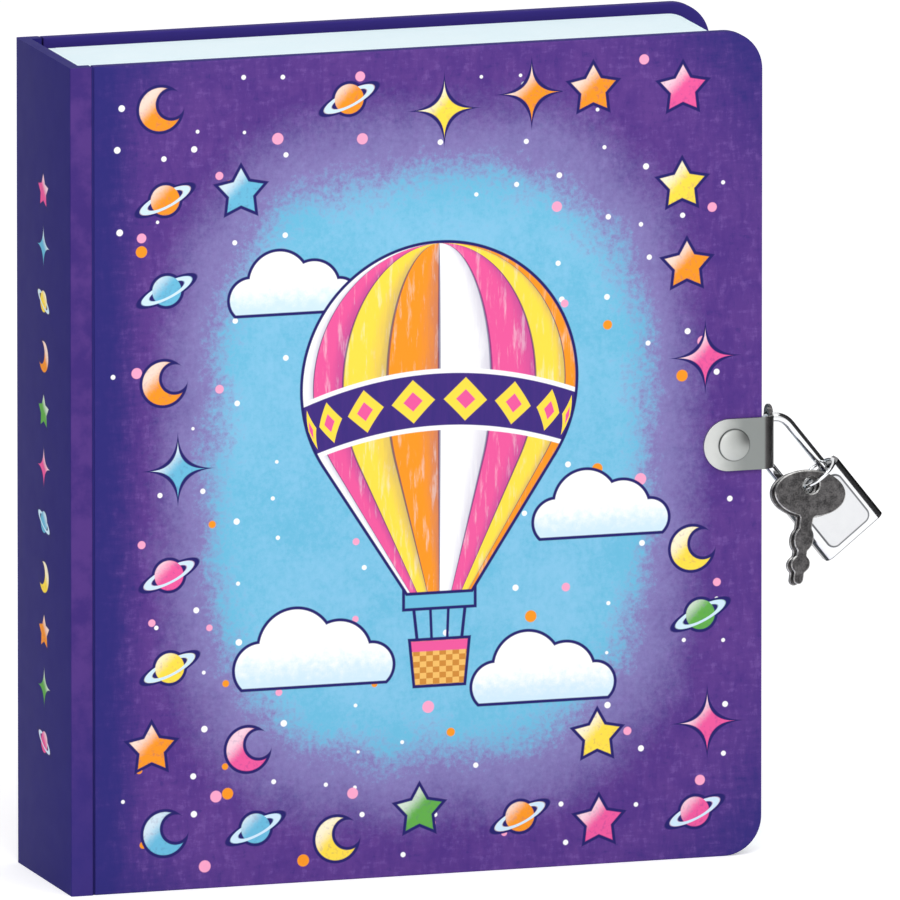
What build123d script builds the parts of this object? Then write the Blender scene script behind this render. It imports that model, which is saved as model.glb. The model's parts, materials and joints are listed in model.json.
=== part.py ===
# A hard-cover diary, standing closed, locked by a small padlock on a two-part hasp.
# X runs from the spine to the fore edge, Y from the front cover to the back cover, Z up.
# The origin is at the foot of the spine, in the middle of its width and of its board.
from build123d import *
import math
import os

# Book, in millimetres
book_height = 159.0
cover_width = 137.0
book_thickness = 35.0
board_thickness = 2.0
spine_board_thickness = 2.0
wrap_thickness = 0.25
corner_radius = 7.5
joint_strip = 4.3
crease_gap = 0.4
turn_in = 14.0
pastedown_thickness = 0.2
pastedown_margin = 2.5

# Pages
head_square = 1.7
fore_square = 3.0
page_corner_radius = 6.0
leaf_thickness = 0.2
leaf_gap = 0.3
turning_leaves = 4
cover_slack = 1.4
gutter_margin = 4.0
leaf_root = 1.5
lining_thickness = 0.3
lining_margin = 12.0

# Hasp
strap_thickness = 0.7
strap_width = 10.0
leaf_reach = 11.8
bend_gap = 0.05
bend_radius = 2.1
strap_gap = 0.4
strap_end_gap = 0.3
eye_radius = 1.3
eye_wall = 0.7
front_arm = 3.0
back_arm = 6.5
rivet_inset = 5.8
rivet_head_radius = 3.05
rivet_rim = 0.35
rivet_dome = 0.55
rivet_shank_radius = 1.5
rivet_tail_radius = 2.3
rivet_tail = 0.4
rivet_clearance = 0.05
washer_radius = 3.5
washer_thickness = 0.4

# Padlock
lock_tilt = 38.5
lock_reach = 3.6
lock_gap = 0.35
wire_diameter = 1.9
wire_sides = 12
shackle_radius = 4.0
neck_length = 11.3
case_width = 14.1
case_height = 14.1
case_depth = 4.2
case_wall = 0.6
case_round = 1.6
case_corner = 0.4
panel_side = 2.1
panel_margin = 1.3
panel_raise = 0.25
panel_corner = 1.6
short_leg = 4.0
long_leg = 10.0
leg_clearance = 0.08
keyway_length = 5.0
keyway_width = 1.6
notch_depth = 0.35
notch_height = 1.4
latch_thickness = 0.4
latch_clearance = 0.15
latch_end_gap = 1.5

# Key ring and keys
ring_wire = 0.8
ring_radius = 3.85
ring_sides = 6
ring_play = 0.25
key_thickness = 0.8
key_gap = 0.2
key_hole_radius = 1.65
key_tilt = 8.0
bow_width = 14.2
bow_height = 9.0
bow_drop = 1.6
shaft_width = 2.6
collar_width = 3.9
collar_height = 5.2
collar_drop = 10.4
blade_width = 2.0
tip_width = 3.8
tip_height = 3.6
tip_drop = 15.3
key_reach = 19.2
key_fillet = 0.6

# Places worked out from the sizes above
spine_x = -spine_board_thickness / 2 - wrap_thickness
fore_x = spine_x + cover_width
crease_x = spine_x + joint_strip
cover_x = crease_x + crease_gap
front_y = -book_thickness / 2
cover_stack = board_thickness + 2 * wrap_thickness
cover_inner_y = front_y + cover_stack
liner_y = cover_inner_y + pastedown_thickness
mid_z = book_height / 2
page_spine_x = spine_board_thickness / 2 + lining_thickness
page_fore_x = fore_x - fore_square
page_foot_z = head_square
page_head_z = book_height - head_square
first_leaf_y = liner_y + cover_slack
leaf_pitch = leaf_thickness + leaf_gap
block_front_y = first_leaf_y + turning_leaves * leaf_pitch
block_back_y = -liner_y - cover_slack - leaf_thickness
leaf_pivot_x = page_spine_x + gutter_margin

# The padlock hangs at the covers' fore edge, its shackle just behind the front cover.
wire_radius = wire_diameter / 2
pivot_x = fore_x + lock_reach
lock_y = liner_y + lock_gap + wire_radius
pivot_z = mid_z
strap_foot_z = mid_z - strap_width / 2
strap_top_z = mid_z + strap_width / 2
front_flange_x = fore_x + bend_gap + bend_radius + strap_thickness
hasp_x = front_flange_x + strap_gap / 2
back_flange_x = front_flange_x + strap_gap + strap_thickness
lug_radius = eye_radius + eye_wall
back_eye_y = lock_y + wire_radius + strap_end_gap + lug_radius
lock_place = Pos(pivot_x, lock_y, pivot_z) * Rot(0, -lock_tilt, 0)


def block(x0, x1, y0, y1, z0, z1):
    """A box between two corners."""
    centre = Pos((x0 + x1) / 2, (y0 + y1) / 2, (z0 + z1) / 2)
    return centre * Box(x1 - x0, y1 - y0, z1 - z0)


def sheet(x0, x1, y0, y1, z0, z1, radius):
    """An upright sheet or board whose two fore-edge corners are rounded."""
    plate = block(x0, x1, y0, y1, z0, z1)
    corners = plate.edges().filter_by(Axis.Y).group_by(Axis.X)[-1]
    return fillet(corners, radius)


def across(radius, x, z):
    """A round bar along Y through the whole book, for rivet holes."""
    return Pos(x, 0, z) * Rot(90, 0, 0) * Cylinder(radius, 2 * book_thickness)


# The spine and its joint strips, under one wrap
def spine_board():
    half = book_thickness / 2 - wrap_thickness
    return block(-spine_board_thickness / 2, spine_board_thickness / 2, -half, half,
                 wrap_thickness, book_height - wrap_thickness)


def front_joint_board():
    return block(spine_board_thickness / 2, crease_x, front_y + wrap_thickness, cover_inner_y - wrap_thickness,
                 wrap_thickness, book_height - wrap_thickness)


def spine_wrap():
    outer = block(spine_x, crease_x, front_y, -front_y, 0, book_height)
    joint = front_joint_board()
    hollow = block(spine_board_thickness / 2, crease_x, cover_inner_y, -cover_inner_y, 0, book_height)
    return outer - hollow - spine_board() - joint - mirror(joint, about=Plane.XZ)


def spine_lining():
    return block(spine_board_thickness / 2, page_spine_x, block_front_y, block_back_y,
                 page_foot_z + lining_margin, page_head_z - lining_margin)


# The covers: board, wrap with turn-ins and pastedown, all drilled for the rivet
def cover_board():
    board = sheet(cover_x + wrap_thickness, fore_x - wrap_thickness, front_y + wrap_thickness,
                  cover_inner_y - wrap_thickness, wrap_thickness, book_height - wrap_thickness,
                  corner_radius - wrap_thickness)
    return board - rivet_hole()


def cover_wrap():
    outer = sheet(cover_x, fore_x, front_y, cover_inner_y, 0, book_height, corner_radius)
    window = block(cover_x + turn_in, fore_x - turn_in, cover_inner_y - wrap_thickness, cover_inner_y,
                   turn_in, book_height - turn_in)
    return outer - cover_board() - window - rivet_hole()


def pastedown():
    paper = sheet(cover_x + pastedown_margin, fore_x - pastedown_margin, cover_inner_y, liner_y,
                  pastedown_margin, book_height - pastedown_margin, corner_radius - pastedown_margin)
    return paper - rivet_hole()


def rivet_hole():
    return across(rivet_shank_radius + rivet_clearance, fore_x - rivet_inset, mid_z)


# The pages
def page_block():
    return sheet(page_spine_x, page_fore_x, block_front_y, block_back_y, page_foot_z, page_head_z,
                 page_corner_radius)


def back_flyleaf():
    return sheet(page_spine_x + gutter_margin, page_fore_x, block_back_y, block_back_y + leaf_thickness,
                 page_foot_z, page_head_z, page_corner_radius)


def turning_leaf(number):
    near_y = first_leaf_y + number * leaf_pitch
    return sheet(leaf_pivot_x + leaf_root, page_fore_x, near_y, near_y + leaf_thickness,
                 page_foot_z, page_head_z, page_corner_radius)


# The hasp: each strap lies on its cover, bends round the fore edge and ends in an arm with an eye.
# The back strap stops just behind the shackle: pressed shut, the covers bring both eyes into line.
def hasp_strap(flange_x, eye_y, arm_foot_z, arm_top_z):
    """A strap on the front cover, its arm's outer face at flange_x and its eye at eye_y."""
    bend_x = flange_x - strap_thickness - bend_radius
    bend_y = front_y + bend_radius
    outer_bend = bend_radius + strap_thickness
    arm_start = fore_x - leaf_reach + strap_width / 2
    round_end = Pos(arm_start, mid_z) * Circle(strap_width / 2)
    flat = Pos((arm_start + bend_x) / 2, mid_z) * Rectangle(bend_x - arm_start, strap_width)
    leaf = Pos(0, front_y, 0) * extrude(Plane.XZ * (round_end + flat), strap_thickness)
    corner = Pos(bend_x, bend_y) * (Circle(outer_bend) - Circle(bend_radius))
    quadrant = Pos(bend_x + outer_bend / 2, bend_y - outer_bend / 2) * Rectangle(outer_bend, outer_bend)
    turned = Pos(0, 0, strap_foot_z) * extrude(corner & quadrant, strap_width)
    eye_side = pivot_x - flange_x + strap_thickness / 2
    eye_z = pivot_z + math.sqrt(shackle_radius ** 2 - eye_side ** 2)
    arm = Pos((bend_y + eye_y) / 2, (arm_foot_z + arm_top_z) / 2)
    arm = arm * Rectangle(eye_y - bend_y, arm_top_z - arm_foot_z)
    riser = Pos(eye_y, (arm_foot_z + eye_z) / 2) * Rectangle(2 * lug_radius, eye_z - arm_foot_z)
    lug = Pos(eye_y, eye_z) * Circle(lug_radius)
    flange = arm + riser + lug - Pos(eye_y, eye_z) * Circle(eye_radius)
    flange = Pos(flange_x - strap_thickness, 0, 0) * extrude(Plane.YZ * flange, strap_thickness)
    return leaf + turned + flange - rivet_hole()


def rivet():
    """Domed rivet through strap, cover and washer, its tail clinched inside."""
    grip = strap_thickness + cover_stack + pastedown_thickness + washer_thickness
    dome_top = rivet_rim + rivet_dome
    dome_radius = (rivet_head_radius ** 2 + rivet_dome ** 2) / (2 * rivet_dome)
    half_turn = math.asin(rivet_head_radius / dome_radius) / 2
    dome_bulge = (dome_radius * math.sin(half_turn), dome_top - dome_radius * (1 - math.cos(half_turn)))
    outline = Polyline((0, dome_top), (0, -grip - rivet_tail), (rivet_tail_radius, -grip - rivet_tail),
                       (rivet_tail_radius, -grip), (rivet_shank_radius, -grip), (rivet_shank_radius, 0),
                       (rivet_head_radius, 0), (rivet_head_radius, rivet_rim))
    dome = ThreePointArc((rivet_head_radius, rivet_rim), dome_bulge, (0, dome_top))
    turned = revolve(make_face(outline + dome), Axis.Y)
    outward = mirror(turned, about=Plane.XZ)
    return Pos(fore_x - rivet_inset, front_y - strap_thickness, mid_z) * outward


def rivet_washer():
    disc = Pos(fore_x - rivet_inset, liner_y + washer_thickness / 2, mid_z)
    disc = disc * Rot(90, 0, 0) * Cylinder(washer_radius, washer_thickness)
    return disc - rivet_hole()


# The padlock, drawn upright about the centre of its shackle's bend, then tilted into place
def shackle():
    short_end = (-shackle_radius, 0, -neck_length - short_leg)
    long_end = (shackle_radius, 0, -neck_length - long_leg)
    bend = ThreePointArc((-shackle_radius, 0, 0), (0, 0, shackle_radius), (shackle_radius, 0, 0))
    path = Line(short_end, (-shackle_radius, 0, 0)) + bend + Line((shackle_radius, 0, 0), long_end)
    section = Plane(origin=short_end, z_dir=(0, 0, 1)) * RegularPolygon(wire_radius, wire_sides)
    wire = sweep(section, path=path)
    notch_z = -neck_length - short_leg / 2
    notch_x = shackle_radius - wire_radius
    notch = block(notch_x, notch_x + notch_depth, -wire_radius, wire_radius,
                  notch_z - notch_height / 2, notch_z + notch_height / 2)
    return lock_place * (wire - notch - mirror(notch, about=Plane.YZ))


def case_box(inset, y0, y1):
    """The case's box, drawn in by the inset on its four narrow sides."""
    return block(-case_width / 2 + inset, case_width / 2 - inset, y0, y1,
                 -neck_length - case_height + inset, -neck_length - inset)


def case_shell():
    """Pressed front pan of the case, with a raised panel, two leg holes and the keyway."""
    half = case_depth / 2
    pan = case_box(0, -half, half)
    pan = fillet(pan.edges().filter_by(Axis.Z).group_by(Axis.Y)[0], case_round)
    pan = fillet(pan.edges().filter_by(Axis.Z).group_by(Axis.Y)[-1], case_corner)
    hollow = case_box(case_wall, -half + case_wall, half)
    hollow = fillet(hollow.edges().filter_by(Axis.Z).group_by(Axis.Y)[0], case_round - case_wall)
    panel = block(-case_width / 2 + panel_side, case_width / 2 - panel_side, -half - panel_raise, -half,
                  -neck_length - case_height + panel_margin, -neck_length - panel_margin)
    panel = fillet(panel.edges().filter_by(Axis.Y), panel_corner)
    leg_hole = Cylinder(wire_radius + leg_clearance, 4 * case_wall)
    leg_holes = [Pos(x, 0, -neck_length) * leg_hole for x in (-shackle_radius, shackle_radius)]
    keyway = Pos(0, 0, -neck_length - case_height) * Box(keyway_length, keyway_width, 4 * case_wall)
    return lock_place * (pan + panel - hollow - leg_holes[0] - leg_holes[1] - keyway)


def case_back():
    """Flat back plate, set into the pan's rim."""
    half = case_depth / 2
    return lock_place * case_box(case_wall, half - case_wall, half)


def latch_spring():
    """Bent spring strip between the legs, with a barb beside each leg's notch."""
    top_z = -neck_length - case_wall - latch_clearance
    foot_z = -neck_length - case_height + case_wall + latch_end_gap
    half_depth = case_depth / 2 - case_wall - latch_clearance
    arm_x = shackle_radius - wire_radius - 2 * latch_thickness
    notch_z = -neck_length - short_leg / 2
    hoop = block(-arm_x, arm_x, -half_depth, half_depth, foot_z, top_z)
    inside = block(-arm_x + latch_thickness, arm_x - latch_thickness, -half_depth, half_depth,
                   foot_z, top_z - latch_thickness)
    barb = block(arm_x, shackle_radius - wire_radius - latch_clearance, -half_depth, half_depth,
                 notch_z - notch_height / 4, notch_z + notch_height / 4)
    return lock_place * (hoop - inside + barb + mirror(barb, about=Plane.YZ))


# The key ring hangs on the long leg and leans forward, so that the keys lie in front of the case
leg_axis = Vector(math.sin(math.radians(lock_tilt)), 0, -math.cos(math.radians(lock_tilt)))
leg_side = Vector(-math.cos(math.radians(lock_tilt)), 0, -math.sin(math.radians(lock_tilt)))
ring_seat = Vector(pivot_x, lock_y, pivot_z) - leg_side * shackle_radius
ring_seat = ring_seat + leg_axis * (neck_length - ring_wire / 2 - ring_play)
ring_offset = ring_radius - ring_wire / 2 - wire_radius - ring_play
rear_key_y = lock_y - case_depth / 2 - panel_raise - key_gap - key_thickness / 2
front_key_y = rear_key_y - key_thickness - key_gap
keys_forward = lock_y - (rear_key_y + front_key_y) / 2
ring_lean = math.asin(keys_forward / (ring_offset + ring_radius))
ring_out = leg_side * math.cos(ring_lean) - Vector(0, 1, 0) * math.sin(ring_lean)
ring_centre = ring_seat + ring_out * ring_offset


def key_ring():
    section = Pos(ring_radius, 0) * RegularPolygon(ring_wire / 2, ring_sides)
    place = Plane(origin=ring_centre, x_dir=ring_out, z_dir=leg_axis)
    return place * Rot(90, 0, 0) * revolve(section, Axis.Y)


def key_hole_place(key_y):
    """The point where the ring's wire crosses the middle of a key lying at key_y."""
    cross = leg_side * math.sin(ring_lean) + Vector(0, 1, 0) * math.cos(ring_lean)
    low, high = -math.pi / 2, math.pi / 2
    for _ in range(60):
        turn = (low + high) / 2
        point = ring_centre + (ring_out * math.cos(turn) + cross * math.sin(turn)) * ring_radius
        if point.Y < key_y:
            low = turn
        else:
            high = turn
    return point


def key(key_y):
    """Flat stamped key hanging from its hole, with an oval bow, a collar on its shaft and a spade tip."""
    bow = Pos(0, -bow_drop) * Ellipse(bow_width / 2, bow_height / 2)
    shaft = Pos(0, -collar_drop / 2) * Rectangle(shaft_width, collar_drop)
    collar = Pos(0, -collar_drop) * Ellipse(collar_width / 2, collar_height / 2)
    tip = Pos(0, -tip_drop) * Ellipse(tip_width / 2, tip_height / 2)
    blade_end = -key_reach + blade_width / 2
    blade = Pos(0, (blade_end - collar_drop) / 2) * Rectangle(blade_width, -blade_end - collar_drop)
    nose = Pos(0, blade_end) * Circle(blade_width / 2)
    outline = bow + shaft + collar + blade + tip + nose
    blank = extrude(Plane.XZ * outline, key_thickness / 2, both=True)
    inner_corners = [e for e in blank.edges().filter_by(Axis.Y) if abs(e.center().X) > key_fillet]
    blank = fillet(inner_corners, key_fillet)
    hole = Rot(90, 0, 0) * Cylinder(key_hole_radius, 2 * key_thickness)
    place = key_hole_place(key_y)
    return Pos(place.X, key_y, place.Z) * Rot(0, key_tilt, 0) * (blank - hole)


os.makedirs("parts", exist_ok=True)
front_strap = hasp_strap(front_flange_x, lock_y, strap_top_z - front_arm, strap_top_z)
back_strap = hasp_strap(back_flange_x, -back_eye_y, strap_foot_z, strap_foot_z + back_arm)
pieces = {
    "spine_board": spine_board(),
    "spine_wrap": spine_wrap(),
    "spine_lining": spine_lining(),
    "front_joint_board": front_joint_board(),
    "back_joint_board": mirror(front_joint_board(), about=Plane.XZ),
    "page_block": page_block(),
    "back_flyleaf": back_flyleaf(),
    "front_flyleaf": turning_leaf(0),
    "first_leaf": turning_leaf(1),
    "second_leaf": turning_leaf(2),
    "third_leaf": turning_leaf(3),
    "front_board": cover_board(),
    "front_wrap": cover_wrap(),
    "front_pastedown": pastedown(),
    "front_strap": front_strap,
    "front_rivet": rivet(),
    "front_rivet_washer": rivet_washer(),
    "back_board": mirror(cover_board(), about=Plane.XZ),
    "back_wrap": mirror(cover_wrap(), about=Plane.XZ),
    "back_pastedown": mirror(pastedown(), about=Plane.XZ),
    "back_strap": mirror(back_strap, about=Plane.XZ),
    "back_rivet": mirror(rivet(), about=Plane.XZ),
    "back_rivet_washer": mirror(rivet_washer(), about=Plane.XZ),
    "shackle": shackle(),
    "case_shell": case_shell(),
    "case_back": case_back(),
    "latch_spring": latch_spring(),
    "key_ring": key_ring(),
    "front_key": key(front_key_y),
    "rear_key": key(rear_key_y),
}
for node, shape in pieces.items():
    export_step(shape, f"parts/{node}.step")
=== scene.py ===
# A closed hard-cover diary with a riveted hasp and a small padlock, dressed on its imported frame.
# Shapes are in metres in the frame's own axes: X to the fore edge, Y to the back, Z up.
# Finishes work in millimetres in the same axes.
import bpy
import bmesh
import json
import math
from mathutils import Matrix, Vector


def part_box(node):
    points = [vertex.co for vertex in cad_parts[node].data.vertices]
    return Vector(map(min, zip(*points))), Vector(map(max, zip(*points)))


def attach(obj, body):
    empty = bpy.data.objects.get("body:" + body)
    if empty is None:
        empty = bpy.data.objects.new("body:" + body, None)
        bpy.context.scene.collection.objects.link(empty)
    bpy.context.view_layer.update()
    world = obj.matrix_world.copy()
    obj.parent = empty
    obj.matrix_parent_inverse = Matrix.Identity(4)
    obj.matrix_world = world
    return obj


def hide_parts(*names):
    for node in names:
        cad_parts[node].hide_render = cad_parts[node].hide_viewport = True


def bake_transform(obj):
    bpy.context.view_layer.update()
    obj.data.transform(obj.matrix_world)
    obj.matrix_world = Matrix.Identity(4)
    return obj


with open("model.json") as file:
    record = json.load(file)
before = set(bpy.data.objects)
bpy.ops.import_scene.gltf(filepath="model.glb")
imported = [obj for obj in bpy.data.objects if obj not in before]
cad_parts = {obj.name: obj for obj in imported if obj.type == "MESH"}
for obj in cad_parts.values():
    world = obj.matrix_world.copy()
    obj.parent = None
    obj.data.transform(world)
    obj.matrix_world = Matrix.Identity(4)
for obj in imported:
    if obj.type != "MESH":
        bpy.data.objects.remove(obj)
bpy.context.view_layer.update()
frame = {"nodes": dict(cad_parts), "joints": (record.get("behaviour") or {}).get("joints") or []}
mm = 0.001

# Places read from the frame
cover_low, cover_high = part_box("front_wrap")
spine_low, spine_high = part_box("spine_wrap")
page_low, page_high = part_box("page_block")
paste_low, paste_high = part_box("front_pastedown")
book_middle = Vector(((spine_low[0] + cover_high[0]) / 2, 0, cover_high[2] / 2))
joints = {joint["name"]: joint for joint in frame["joints"]}

# Sizes of the dressing
cover_corner = 7.5 * mm
joint_corner = 0.12 * mm
page_corner = 6.0 * mm
edge_round = 0.28 * mm
wrap_sheet = 0.25 * mm
crease_depth = 0.28 * mm
arc_steps = 18
round_steps = 5
sharp_angle = math.radians(35.0)


# Shader arithmetic

class Field:
    """A node's socket that takes part in sums: each operator adds one Math node."""

    def __init__(self, nodes, socket):
        self.nodes = nodes
        self.socket = socket

    def math(self, operation, first, second=0.0):
        return self.nodes.node("ShaderNodeMath", {"operation": operation}, {0: first, 1: second})

    def __add__(self, other):
        return self.math("ADD", self, other)

    def __sub__(self, other):
        return self.math("SUBTRACT", self, other)

    def __rsub__(self, other):
        return self.math("SUBTRACT", other, self)

    def __mul__(self, other):
        return self.math("MULTIPLY", self, other)

    def __truediv__(self, other):
        return self.math("DIVIDE", self, other)

    def __mod__(self, other):
        return self.math("FLOORED_MODULO", self, other)

    def __gt__(self, other):
        return self.math("GREATER_THAN", self, other)

    def __lt__(self, other):
        return self.math("LESS_THAN", self, other)

    def __abs__(self):
        return self.math("ABSOLUTE", self)

    def root(self):
        return self.math("SQRT", self)

    def floor(self):
        return self.math("FLOOR", self)

    def sine(self):
        return self.math("SINE", self)

    def cosine(self):
        return self.math("COSINE", self)

    def arcsine(self):
        return self.math("ARCSINE", self)

    def angle_over(self, across):
        """Angle of the point that lies this far up and so far across."""
        return self.math("ARCTAN2", self, across)

    def least(self, other):
        return self.math("MINIMUM", self, other)

    def most(self, other):
        return self.math("MAXIMUM", self, other)

    __radd__ = __add__
    __rmul__ = __mul__

    def out(self, name):
        """Another output of the same node."""
        return Field(self.nodes, self.socket.node.outputs[name])


class Nodes:
    """A node tree, filled by one method."""

    def __init__(self, tree):
        self.tree = tree

    def feed(self, socket, value):
        """Link the socket to a field, or set it to a plain value."""
        if isinstance(value, Field):
            self.tree.links.new(value.socket, socket)
        else:
            socket.default_value = value

    def node(self, kind, settings=None, inputs=None, output=0):
        """A node of this kind: settings first, then the value or link of each socket named."""
        made = self.tree.nodes.new(kind)
        for key, value in (settings or {}).items():
            setattr(made, key, value)
        for key, value in (inputs or {}).items():
            self.feed(made.inputs[key], value)
        return Field(self, made.outputs[output])


class Paint(Nodes):
    """One material, with its coordinates in millimetres and the few nodes that the finishes share."""

    def __init__(self, name):
        self.material = bpy.data.materials.new(name)
        self.material.use_nodes = True
        super().__init__(self.material.node_tree)
        self.shader = self.tree.nodes["Principled BSDF"]
        place = self.node("ShaderNodeTexCoord", output="Object")
        self.place = self.node("ShaderNodeVectorMath", {"operation": "SCALE"}, {0: place, "Scale": 1 / mm})
        split = self.node("ShaderNodeSeparateXYZ", {}, {0: self.place})
        self.x = split.out("X")
        self.y = split.out("Y")
        self.z = split.out("Z")

    def mix(self, factor, first, second):
        return self.node("ShaderNodeMix", {"data_type": "RGBA"}, {0: factor, 6: first, 7: second}, output=2)

    def between(self, value, low, high, low_result=0.0, high_result=1.0):
        """Smooth step from one result to the other as the value goes from low to high."""
        return self.node("ShaderNodeMapRange", {"interpolation_type": "SMOOTHSTEP"},
                         {"Value": value, "From Min": low, "From Max": high,
                          "To Min": low_result, "To Max": high_result})

    def noise(self, scale, detail=3.0, roughness=0.5, place=None, distortion=0.0):
        """Noise from 0 to 1, its scale in features per millimetre."""
        return self.node("ShaderNodeTexNoise", {}, {"Vector": place or self.place, "Scale": scale,
                         "Detail": detail, "Roughness": roughness, "Distortion": distortion})

    def stretched(self, along_x, along_y, along_z):
        """The place multiplied along each axis, for streaks."""
        return self.node("ShaderNodeVectorMath", {"operation": "MULTIPLY"},
                         {0: self.place, 1: (along_x, along_y, along_z)})

    def finish(self, colour, roughness, metallic=0.0, height=None, bump=0.0, bump_depth=0.0):
        """Feed the shader. A height of 1 stands the bump's depth, in millimetres, above one of 0."""
        sockets = self.shader.inputs
        self.feed(sockets["Base Color"], colour)
        self.feed(sockets["Roughness"], roughness)
        self.feed(sockets["Metallic"], metallic)
        if height is not None:
            normal = self.node("ShaderNodeBump", {}, {"Strength": bump, "Distance": bump_depth * mm,
                               "Height": height})
            self.feed(sockets["Normal"], normal)
        return self.material


def ink(red, green, blue):
    """A colour given as screen values from 0 to 255, in the linear form that shaders take."""
    def linear(value):
        part = value / 255
        return part / 12.92 if part <= 0.04045 else ((part + 0.055) / 1.055) ** 2.4
    return (linear(red), linear(green), linear(blue), 1.0)


# Printed covers

print_edge = 0.12
outline_width = 0.6
navy_ink = ink(50, 46, 118)
midnight_ink = ink(42, 38, 104)
fold_ink = ink(53, 43, 117)
violet_ink = ink(80, 53, 130)
plum_ink = ink(97, 64, 139)
lilac_ink = ink(126, 94, 168)
dusk_ink = ink(146, 142, 196)
sky_ink = ink(106, 184, 216)
pale_sky_ink = ink(132, 194, 226)
mist_ink = ink(206, 230, 246)
white_ink = ink(252, 252, 253)
pink_ink = ink(236, 92, 156)
rose_ink = ink(248, 164, 198)
yellow_ink = ink(253, 220, 76)
orange_ink = ink(246, 150, 42)
green_ink = ink(98, 170, 76)
motif_inks = (yellow_ink, pink_ink, orange_ink, sky_ink, green_ink)
motif_kinds = 4
sky_half_width = 45.0
sky_half_height = 58.0


def inside(paint, distance):
    """Mask of a printed shape, from its distance in millimetres: 1 within, 0 outside."""
    return paint.between(distance, -print_edge, print_edge, 1.0, 0.0)


def reach(across, up):
    """Distance from the point where across and up are both zero."""
    return (across * across + up * up).root()


def pick(choice, first, second):
    """The first number where the choice is 0, the second where it is 1."""
    return first + (second - first) * choice


def palette(paint, turn, colours):
    """One of the colours, by a whole number from 0 up."""
    chosen = colours[0]
    for number, colour in enumerate(colours[1:]):
        chosen = paint.mix(turn > number + 0.5, chosen, colour)
    return chosen


def outlined(paint, base, distance, colour, keep=1.0):
    """A printed shape with a dark line round it."""
    base = paint.mix(inside(paint, distance - outline_width) * keep, base, midnight_ink)
    return paint.mix(inside(paint, distance) * keep, base, colour)


def brushed_ground(paint, shade):
    """Dry-brushed violet, going to navy where the shade is 1."""
    cloud = paint.noise(0.05, 4.0, 0.6)
    strokes = paint.noise(0.3, 4.0, 0.65, paint.stretched(1.0, 1.0, 0.5), 1.0)
    upright = paint.noise(0.9, 4.0, 0.7, paint.stretched(1.0, 1.0, 0.3))
    level = paint.noise(0.9, 4.0, 0.7, paint.stretched(0.3, 1.0, 1.0))
    weave = upright * 0.5 + level * 0.5
    colour = paint.mix(paint.between(cloud * 0.4 + strokes * 0.6, 0.32, 0.68), violet_ink, plum_ink)
    colour = paint.mix(paint.between(weave, 0.5, 0.68, 0.0, 0.5), colour, lilac_ink)
    colour = paint.mix(paint.between(weave, 0.34, 0.46, 0.4, 0.0), colour, navy_ink)
    dark = shade + (strokes - 0.5) * 0.5 + (0.5 - weave) * 0.9
    return paint.mix(paint.between(dark, 0.05, 0.95), colour, navy_ink)


def strewn_cells(paint, across, up, spacing, disorder, shift):
    """Cells strewn over the print: chances from 0 to 1 for each cell, and the place of its middle."""
    place = paint.node("ShaderNodeCombineXYZ", {}, {0: across + shift, 1: up + shift})
    cells = paint.node("ShaderNodeTexVoronoi", {"voronoi_dimensions": "2D"},
                       {"Vector": place, "Scale": 1 / spacing, "Randomness": disorder})
    chance = paint.node("ShaderNodeSeparateColor", {}, {0: cells.out("Color")})
    centre = paint.node("ShaderNodeSeparateXYZ", {}, {0: cells.out("Position")})
    return chance, centre - shift, centre.out("Y") - shift


def scattered_spots(paint, base, across, up, spacing, radius, colour, share, shift, room=None):
    """Round spots strewn at random, only where the room for them allows if one is given."""
    chance, centre_x, centre_z = strewn_cells(paint, across, up, spacing, 0.85, shift)
    size = radius * (0.6 + 0.7 * chance.out("Green"))
    mask = inside(paint, reach(across - centre_x, up - centre_z) - size) * (chance.out("Red") < share)
    if room:
        mask = mask * room(centre_x, centre_z)
    return paint.mix(mask, base, colour)


def star_distance(x, z, size):
    """Distance to a plump five-pointed star, one point up."""
    count = 5
    turn = 0.75
    inner = 0.54 * size
    sector = z.angle_over(x) * (count / math.tau) + (turn + 0.5)
    bent = (sector - sector.floor() - 0.5) * (math.tau / count)
    radius = reach(x, z)
    along = radius * bent.cosine()
    aside = radius * bent.sine()
    half = math.pi / count
    edge = Vector((inner * math.cos(half) - size, inner * math.sin(half)))
    normal = Vector((edge.y, -edge.x)).normalized()
    return (along - size) * normal.x + abs(aside) * normal.y


def moon_distance(x, z, size):
    """Distance to a crescent."""
    disc = reach(x, z) - 0.9 * size
    bite = reach(x - 0.5 * size, z - 0.2 * size) - 0.7 * size
    return disc.most(0.0 - bite)


def planet_distances(x, z, size):
    """Distances to a ball and to the tilted ring round it, and the height above the ring's plane."""
    lean = math.radians(24)
    along = x * math.cos(lean) + z * math.sin(lean)
    above = z * math.cos(lean) - x * math.sin(lean)
    ring = abs(reach(along, above * 3.4) - size) - 0.17 * size
    return reach(x, z) - 0.62 * size, ring * 0.5, above


def motif(paint, base, x, z, size, kind, tint, keep):
    """A star, crescent, ringed planet or sparkle, by the kind from 0 to 3, about x and z of zero."""
    ball, ring, above = planet_distances(x, z, size)
    sparkle = abs(x).root() + abs(z).root()
    sparkle = (sparkle * sparkle - size * 1.25) * 0.3
    distance = pick(kind > 0.5, star_distance(x, z, size), moon_distance(x, z, size))
    distance = pick(kind > 1.5, distance, ball.least(ring))
    distance = pick(kind > 2.5, distance, sparkle)
    colour = palette(paint, tint, motif_inks)
    strokes = paint.noise(1.3, 3.0, 0.6)
    lit = paint.between(z - x + strokes * 2.0, 0.2 * size, 1.2 * size, 0.0, 0.6)
    colour = paint.mix(lit, colour, white_ink)
    colour = paint.mix(paint.between(strokes, 0.5, 0.7, 0.0, 0.22), colour, violet_ink)
    base = outlined(paint, base, distance, colour, keep)
    over_ball = (above < 0.0).most(ball > 0.0)
    on_planet = (kind > 1.5) * (kind < 2.5) * over_ball * keep
    return paint.mix(inside(paint, ring) * on_planet, base, mist_ink)


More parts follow.
